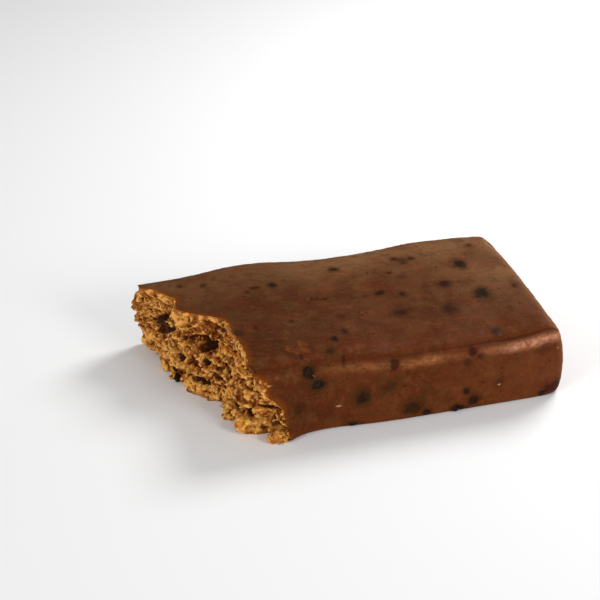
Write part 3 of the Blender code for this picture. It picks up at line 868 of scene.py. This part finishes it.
class Lumps:
    """Many small uneven lumps that become one mesh."""

    def __init__(self):
        self.balls = {detail: ball(detail) for detail in (SMALL, MIDDLING, LARGE)}
        self.points = []
        self.faces = []
        self.values = {"tint": [], "depth": [], "tone": []}

    def add(self, middle, half_sizes, turn, roughness, detail, tint=0.0, depth=DEEP, crumbly=False):
        points, faces = self.balls[detail]
        count = len(self.points)
        offset = Vector([count * shift for shift in LUMP_SHIFT])
        for point in points:
            push = 1.0
            for scale, share in LUMP_WAVES:
                push += share * roughness * noise.noise(point * scale + offset)
            part = Vector([size * value * push for size, value in zip(half_sizes, point)])
            part = middle + turn @ part
            if crumbly:
                part += turn @ point * grains_at(part)
            part.z = max(part.z, 0.0)
            self.points.append(part)
            self.values["tint"].append(tint)
            self.values["depth"].append(depth)
            self.values["tone"].append(tone_at(part) if crumbly else tint - 0.5)
        self.faces.append(faces + count)

    def build(self, name):
        mesh = bpy.data.meshes.new(name)
        mesh.from_pydata(self.points, [], np.concatenate(self.faces).tolist())
        mesh.shade_smooth()
        for value, numbers in self.values.items():
            store(mesh, value, numbers)
        return add_object(name, mesh)


def random_turn(draw):
    axis = Vector([draw.gauss(0.0, 1.0) for _ in range(3)]).normalized()
    return Matrix.Rotation(draw.uniform(0.0, math.tau), 3, axis)


def crumb_grains(bar):
    """Crumbs lying on the break, mostly small, and the larger ones that hang from its lower edge."""
    draw = random.Random(GRAIN_SEED)
    faces = [face for face in bar.data.polygons if face.material_index == CRUMB]
    grains = Lumps()
    for face in draw.choices(faces, [face.area for face in faces], k=GRAINS):
        middle = face.center
        inside = depth_inside(middle)
        if hollow_depth(middle.y, middle.z) > CLEAR_HOLLOW or inside < CLEAR_RIM:
            continue
        radius = GRAIN_RADII[0] + (GRAIN_RADII[1] - GRAIN_RADII[0]) * draw.random() ** GRAIN_BIAS
        radius *= GRAIN_RIM_SHARE + (1.0 - GRAIN_RIM_SHARE) * ramp(inside, 0.0, CALM_DEPTH)
        sizes = [radius * draw.uniform(*GRAIN_STRETCH) for _ in range(3)]
        spot = middle + face.normal * radius * draw.uniform(*GRAIN_OUT)
        spot.z = max(spot.z, radius * GRAIN_CLEARANCE)
        grains.add(spot, sizes, random_turn(draw), GRAIN_ROUGHNESS, SMALL, draw.random(), inside / MM)
    for x, y, z, radius in HANGING_CRUMBS:
        sizes = [radius * draw.uniform(*HANGING_STRETCH) * MM for _ in range(3)]
        spot = Vector((x, y, max(z, radius * HANGING_CLEARANCE))) * MM
        grains.add(spot, sizes, random_turn(draw), HANGING_ROUGHNESS, LARGE, crumbly=True)
    for y, z, radius in PALE_BITS:
        spot = torn(y * MM, z * MM) - Vector((radius * PALE_BIT_OUT * MM, 0.0, 0.0))
        grains.add(spot, [radius * MM] * 3, random_turn(draw), PALE_BIT_ROUGHNESS, MIDDLING, 1.0)
    return grains.build("crumb_grains")


def fruit_bits(whole):
    """The dark bits that stand out of the skin and lie open in the break."""
    found = [(pressed(Vector(bit[:3]) * MM), Vector(bit[3:]) * MM) for bit in FRUIT_BITS]
    for y, z, half_width, half_height, out in BREAK_BITS:
        spot = torn(y * MM, z * MM) - Vector((out * MM, 0.0, 0.0))
        spot.z = max(spot.z, half_height * MM)
        found.append((spot, Vector((BREAK_BIT_DEPTH, half_width, half_height)) * MM))
    skin = bvhtree.BVHTree.FromPolygons(*whole)
    for middle, half_sizes, strength, _ in seeded_blots():
        if strength > OPEN_BIT and 0.0 < middle[2] < OPEN_BIT_TOP:
            sizes = Vector([min(half * OPEN_BIT_SHARE, OPEN_BIT_MAX) for half in half_sizes]) * MM
            spot, outward, _, _ = skin.find_nearest(pressed(Vector(middle) * MM))
            found.append((spot - outward * min(sizes) * OPEN_BIT_SINK, sizes))
    bits = Lumps()
    for spot, sizes in found:
        bits.add(spot, sizes, Matrix.Identity(3), BIT_ROUGHNESS, LARGE)
    return bits.build("fruit_bits")


# ---- Material helpers ----
class Nodes:
    """A node tree that is built by calls. A value may be a socket, which is linked, or a number or vector.

    A colour is given as a screen shows it, 0 to 255.
    """

    def __init__(self, name):
        self.material = bpy.data.materials.new(name)
        self.material.use_nodes = True
        self.tree = self.material.node_tree
        self.shader = self.tree.nodes["Principled BSDF"]

    @functools.cached_property
    def place(self):
        """The place on the bar in mm."""
        return self.divided(self.add("TexCoord", {}, "Object"), (MM, MM, MM))

    def add(self, kind, inputs, output=0, **settings):
        node = self.tree.nodes.new("ShaderNode" + kind)
        for name, value in settings.items():
            setattr(node, name, value)
        for name, value in inputs.items():
            self.put(node.inputs[name], value)
        return node.outputs[output]

    def put(self, socket, value):
        if isinstance(value, bpy.types.NodeSocket):
            self.tree.links.new(value, socket)
        elif socket.type == "RGBA":
            shade = Color([part / 255.0 for part in value])
            socket.default_value = (*shade.from_srgb_to_scene_linear(), 1.0)
        else:
            socket.default_value = value

    def math(self, operation, first, second):
        return self.add("Math", {0: first, 1: second}, operation=operation)

    def times(self, first, second):
        return self.math("MULTIPLY", first, second)

    def divided(self, vector, sizes):
        return self.add("VectorMath", {0: vector, 1: sizes}, operation="DIVIDE")

    def noise(self, size, detail=3.0, roughness=0.5, stretch=(1.0, 1.0, 1.0)):
        """Noise whose features are about size mm across, drawn out by stretch."""
        place = self.divided(self.place, stretch)
        inputs = {"Vector": place, "Scale": 1.0 / size, "Detail": detail, "Roughness": roughness}
        return self.add("TexNoise", inputs)

    def cells(self, size):
        """Distance from the nearest of many scattered points, about size mm apart."""
        return self.add("TexVoronoi", {"Vector": self.place, "Scale": 1.0 / size}, "Distance")

    def attribute(self, name):
        return self.add("Attribute", {}, "Fac", attribute_name=name)

    def split(self, vector, axis):
        return self.add("SeparateXYZ", {0: vector}, axis)

    def facing(self, axis):
        """How far the surface faces along one axis, from -1 to 1."""
        return self.split(self.add("NewGeometry", {}, "Normal"), axis)

    def ramp(self, value, start, end, low=0.0, high=1.0):
        inputs = {"Value": value, "From Min": start, "From Max": end, "To Min": low, "To Max": high}
        return self.add("MapRange", inputs, interpolation_type="SMOOTHSTEP")

    def frayed(self, value, noise, spread, low=0.3, high=0.7):
        """A value pushed up and down by noise, so that an edge read from it comes out ragged."""
        return self.math("ADD", value, self.ramp(noise, low, high, -spread, spread))

    def mix(self, factor, first, second):
        """A colour between two, which a Mix node takes at inputs 6 and 7. Its output 2 is their mix."""
        return self.add("Mix", {0: factor, 6: first, 7: second}, 2, data_type="RGBA")

    def paint(self, base, coats):
        """Lay coats over a colour: (value, where on it the coat starts and is full, share, colour)."""
        for value, start, end, share, shade in coats:
            base = self.mix(self.ramp(value, start, end, 0.0, share), base, shade)
        return base

    def bump(self, height, distance, strength):
        return self.add("Bump", {"Height": height, "Distance": distance, "Strength": strength})

    def finish(self, **inputs):
        for name, value in inputs.items():
            self.put(self.shader.inputs[name.replace("_", " ")], value)
        return self.material


def skin_material():
    """Mottled brown skin over dark blots with soft halos, with painted sheen that makes the top paler towards
    the intact end and the far side, painted shade towards the break, and painted light and glow on the intact
    end.
    """
    n = Nodes("skin")
    mottle, patch, grain = [n.noise(size, roughness=0.55) for size in (6.0, 2.2, 0.5)]
    hue = n.noise(2.2, roughness=0.55, stretch=(1.5, 1.0, 1.0))
    streak = n.noise(0.9, stretch=(9.0, 1.0, 1.0))
    along_bar, across_bar, height = [n.split(n.place, axis) for axis in range(3)]
    mottled = n.ramp(mottle, 0.35, 0.65)
    # Painted sheen: the top is painted paler and greyer towards the intact end and the far side, and its
    # browns are greyer than the side's.
    right = n.times(n.ramp(along_bar, 12.0, 34.0), n.ramp(across_bar, -10.0, 5.0, 0.05, 1.0))
    painted_sheen = n.math("MAXIMUM", right, n.ramp(across_bar, 2.0, 15.0))
    painted_sheen = n.times(painted_sheen, n.ramp(mottle, 0.3, 0.6, 0.5, 1.0))
    top = n.mix(painted_sheen, n.mix(mottled, (77, 38, 16), (90, 50, 26)), (119, 82, 52))
    top = n.paint(top, (
        (across_bar, -7.0, -15.0, 0.75, (88, 38, 10)),
        # Painted shade: the top darkens towards the break.
        (along_bar, -2.0, -12.0, 0.4, (64, 31, 12)),
    ))
    side = n.paint(n.mix(mottled, (80, 36, 13), (94, 46, 19)), (
        # Painted light: the side grows lighter towards the intact end.
        (along_bar, 0.0, 35.0, 0.6, (106, 55, 26)),
        (height, 3.0, 0.5, 0.4, (114, 56, 16)),
        # Painted shade: the side darkens towards the break.
        (along_bar, -8.0, -16.0, 0.5, (66, 29, 9)),
    ))
    # Painted light and glow: the intact end and the rims above it and along the far side are painted lighter
    # and more orange.
    end = n.mix(n.ramp(n.facing(2), 0.1, 0.6), (144, 70, 14), (146, 96, 50))
    base = n.mix(painted_end_glow(n), n.mix(n.ramp(n.facing(2), 0.5, 0.95), side, top), end)
    base = n.paint(base, (
        (hue, 0.52, 0.64, 0.28, (104, 44, 24)),
        (hue, 0.48, 0.36, 0.33, (82, 57, 28)),
        (patch, 0.5, 0.7, 0.35, (112, 68, 36)),
        (patch, 0.46, 0.3, 0.4, (66, 32, 12)),
        (streak, 0.52, 0.75, 0.25, (66, 32, 11)),
        (grain, 0.5, 0.8, 0.2, (122, 84, 54)),
        (grain, 0.5, 0.2, 0.3, (54, 24, 8)),
    ))
    base = n.mix(n.times(specks(n), 0.7), base, (40, 18, 6))
    # The crest, painted lighter partly as wear and partly as a painted highlight, the groove above it painted
    # dark as shade, the torn edge and the thin spots
    wear_and_highlight = n.ramp(n.noise(0.6, roughness=0.6, stretch=(1.6, 1.0, 1.0)), 0.35, 0.62, 0.45, 1.1)
    wear_and_highlight_colour = n.mix(n.ramp(along_bar, 12.0, 26.0), (212, 138, 84), (218, 150, 116))
    base = n.mix(n.times(n.attribute("sheen"), wear_and_highlight), base, wear_and_highlight_colour)
    # Painted shade in the groove above the crest.
    base = n.mix(n.times(n.attribute("groove"), 0.6), base, (62, 20, 2))
    base = n.paint(base, (
        (n.frayed(n.attribute("rim"), patch, 0.5), 1.1, -0.2, 1.0, (108, 52, 12)),
        (n.frayed(n.attribute("thin"), n.noise(0.8), 0.5), -0.2, 1.2, 0.42, (138, 76, 30)),
    ))
    # Blots, creases darkened with painted shade, and flecks
    ragged = n.frayed(n.attribute("blot_depth"), n.noise(1.5, detail=4.0, roughness=0.6), 0.4, 0.25, 0.75)
    strength, purple = n.attribute("blot_strength"), n.attribute("blot_purple")
    halo = n.mix(purple, (54, 35, 10), (74, 28, 14))
    base = n.mix(n.times(n.ramp(ragged, -1.1, 0.3, 0.0, 0.8), strength), base, halo)
    core = n.mix(purple, (32, 18, 8), (52, 18, 12))
    core = n.paint(core, ((n.noise(0.45, detail=2.0), 0.5, 0.7, 0.4, (46, 30, 18)),))
    base = n.mix(n.times(n.ramp(ragged, -0.15, 0.55), strength), base, core)
    base = n.paint(base, (
        # Painted shade in the creases.
        (n.attribute("crease"), 0.02, 0.2, 0.5, (34, 12, 2)),
        (n.frayed(n.attribute("fleck"), grain, 0.3), 0.0, 0.5, 1.0, (172, 122, 72)),
    ))
    fine = n.times(n.noise(0.35, roughness=0.6), 0.6)
    return n.finish(
        Base_Color=base,
        Roughness=n.ramp(patch, 0.3, 0.7, 0.42, 0.56),
        Normal=n.bump(n.math("ADD", fine, n.times(streak, 0.4)), 0.1 * MM, 0.5),
        Specular_IOR_Level=0.03,
    )


def painted_end_glow(n):
    """How much painted light and glow lighten the skin on the intact end and on the rounded rims above it and
    the far side.
    """
    rim = n.times(n.ramp(n.facing(1), 0.2, 0.6, 0.0, 0.25), n.ramp(n.facing(2), 0.2, 0.5))
    end_rim = n.times(n.ramp(n.facing(0), 0.1, 0.5, 0.0, 0.45), n.ramp(n.facing(2), 0.1, 0.5))
    end = n.math("MAXIMUM", end_rim, n.ramp(n.facing(0), 0.2, 0.8, 0.0, 0.5))
    return n.math("MAXIMUM", end, rim)


def specks(n):
    """Fine dark specks, in loose groups."""
    coarse = n.times(n.ramp(n.cells(1.9), 0.17, 0.08), n.ramp(n.noise(3.0), 0.46, 0.56))
    fine = n.times(n.ramp(n.cells(0.9), 0.2, 0.08), n.ramp(n.noise(2.2, detail=2.0), 0.52, 0.62))
    return n.math("MAXIMUM", coarse, n.times(fine, 0.8))


def crumb_material():
    """Golden crumb, with painted light that makes it lighter low down and towards the far side, painted
    highlights on its crests, and painted shade in its crevices and hollows.
    """
    n = Nodes("crumb")
    broad = n.noise(2.6)
    tone = n.math("ADD", n.noise(1.0), n.times(n.attribute("tone"), 0.25))
    grain = n.noise(0.3, roughness=0.6)
    rusty = n.noise(1.7, detail=2.0, stretch=(1.0, 1.6, 1.0))
    # Painted light: the crumb is painted lighter low down and towards the far side.
    far = n.ramp(n.split(n.place, 1), 2.0, 9.0, 0.0, 0.35)
    low = n.math("MINIMUM", n.math("ADD", n.ramp(n.split(n.place, 2), 4.5, 0.8, 0.0, 0.8), far), 1.0)
    brown = n.mix(low, (104, 45, 7), (182, 104, 30))
    golden = n.mix(low, (184, 112, 42), (252, 196, 104))
    umber = n.mix(low, (88, 34, 3), (150, 78, 18))
    tint, pit = n.attribute("tint"), n.attribute("pit")
    fine, middling, hollow, basin = [n.attribute(name) for name, _ in CAVITIES]
    base = n.paint(brown, (
        (tone, 0.34, 0.66, 1.0, golden),
        (broad, 0.51, 0.38, 0.75, umber),
        (broad, 0.52, 0.66, 0.4, (222, 152, 62)),
        (rusty, 0.52, 0.64, 0.45, (150, 72, 20)),
        (rusty, 0.46, 0.36, 0.4, (198, 136, 60)),
        (grain, 0.5, 0.7, 0.15, (230, 170, 90)),
        (grain, 0.5, 0.32, 0.15, (96, 38, 2)),
        (tint, 0.8, 1.0, 0.6, (234, 190, 96)),
        # Painted highlights on the crests.
        (fine, -0.01, -0.08, 0.4, (242, 192, 116)),
        (middling, -0.02, -0.15, 0.45, (236, 176, 92)),
        (basin, -0.1, -0.6, 0.4, (228, 164, 80)),
        # Painted shade in the crevices, hollows, basins and pits.
        (fine, 0.0, 0.07, 0.45, (94, 32, 0)),
        (middling, 0.0, 0.15, 0.8, (84, 28, 0)),
        (hollow, 0.02, 0.25, 0.9, (66, 21, 0)),
        (basin, 0.05, 0.5, 0.85, (70, 24, 0)),
        (pit, 0.25, 1.0, 0.95, (42, 14, 0)),
        (n.frayed(n.attribute("depth"), tone, 0.4, 0.35, 0.65), 0.55, 0.05, 0.75, (122, 60, 14)),
    ))
    return n.finish(
        Base_Color=base,
        Roughness=n.ramp(fine, -0.05, 0.03, 0.34, 0.7),
        Normal=n.bump(grain, 0.1 * MM, 0.35),
        Specular_IOR_Level=0.06,
        Subsurface_Weight=0.35,
        Subsurface_Radius=(1.0, 0.35, 0.08),
        Subsurface_Scale=0.6 * MM,
    )


def fruit_material():
    """The dark, slightly glossy skin of the fruit bits."""
    n = Nodes("fruit_bit")
    skin = n.noise(0.5, roughness=0.55)
    return n.finish(
        Base_Color=n.mix(n.ramp(skin, 0.4, 0.7), (24, 13, 6), (48, 29, 18)),
        Roughness=n.ramp(skin, 0.3, 0.7, 0.3, 0.5),
        Normal=n.bump(skin, 0.08 * MM, 0.6),
        Specular_IOR_Level=0.08,
    )


# ---- Stage ----
def add_camera():
    data = bpy.data.cameras.new("camera")
    data.sensor_width = SENSOR
    data.lens = SENSOR * FOCAL_PIXELS / PHOTO_SIDE
    camera = add_object("camera", data)
    camera.location = CAMERA_PLACE - MIDDLE
    camera.rotation_euler = (CAMERA_AIM - CAMERA_PLACE).to_track_quat("-Z", "Y").to_euler()
    bpy.context.scene.camera = camera


def add_light(name, place, size, power):
    data = bpy.data.lights.new(name, "AREA")
    data.shape = "DISK"
    data.size = size
    data.energy = power
    light = add_object(name, data)
    light.location = place
    light.rotation_euler = (-Vector(place)).to_track_quat("-Z", "Y").to_euler()


def add_stage():
    bpy.ops.mesh.primitive_plane_add(size=FLOOR_SIZE)
    floor = bpy.context.object
    floor.name = "floor"
    floor.data.materials.append(Nodes("floor").finish(Base_Color=FLOOR_SHADE, Roughness=FLOOR_ROUGHNESS))
    world = bpy.data.worlds.new("studio")
    world.use_nodes = True
    background = world.node_tree.nodes["Background"]
    background.inputs["Color"].default_value = WORLD_SHADE
    background.inputs["Strength"].default_value = WORLD_STRENGTH
    bpy.context.scene.world = world
    for light in LIGHTS:
        add_light(*light)
    bpy.context.scene.view_settings.view_transform = "Standard"


def main():
    add_camera()
    add_stage()
    skin, crumb, fruit = skin_material(), crumb_material(), fruit_material()
    bar = bar_slab()
    bar.data.materials.append(skin)
    whole = ([vert.co.copy() for vert in bar.data.vertices],
             [list(polygon.vertices) for polygon in bar.data.polygons])
    cutter = break_cutter()
    cutter.data.materials.append(crumb)
    cut_break(bar, cutter)
    grain_crumb(bar)
    finish_bar(bar, whole)
    grains = crumb_grains(bar)
    grains.data.materials.append(crumb)
    bits = fruit_bits(whole)
    bits.data.materials.append(fruit)
    for piece in (bar, grains, bits):
        piece.data.transform(Matrix.Translation(-MIDDLE))
        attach(piece, "root")
        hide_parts("bar")


main()
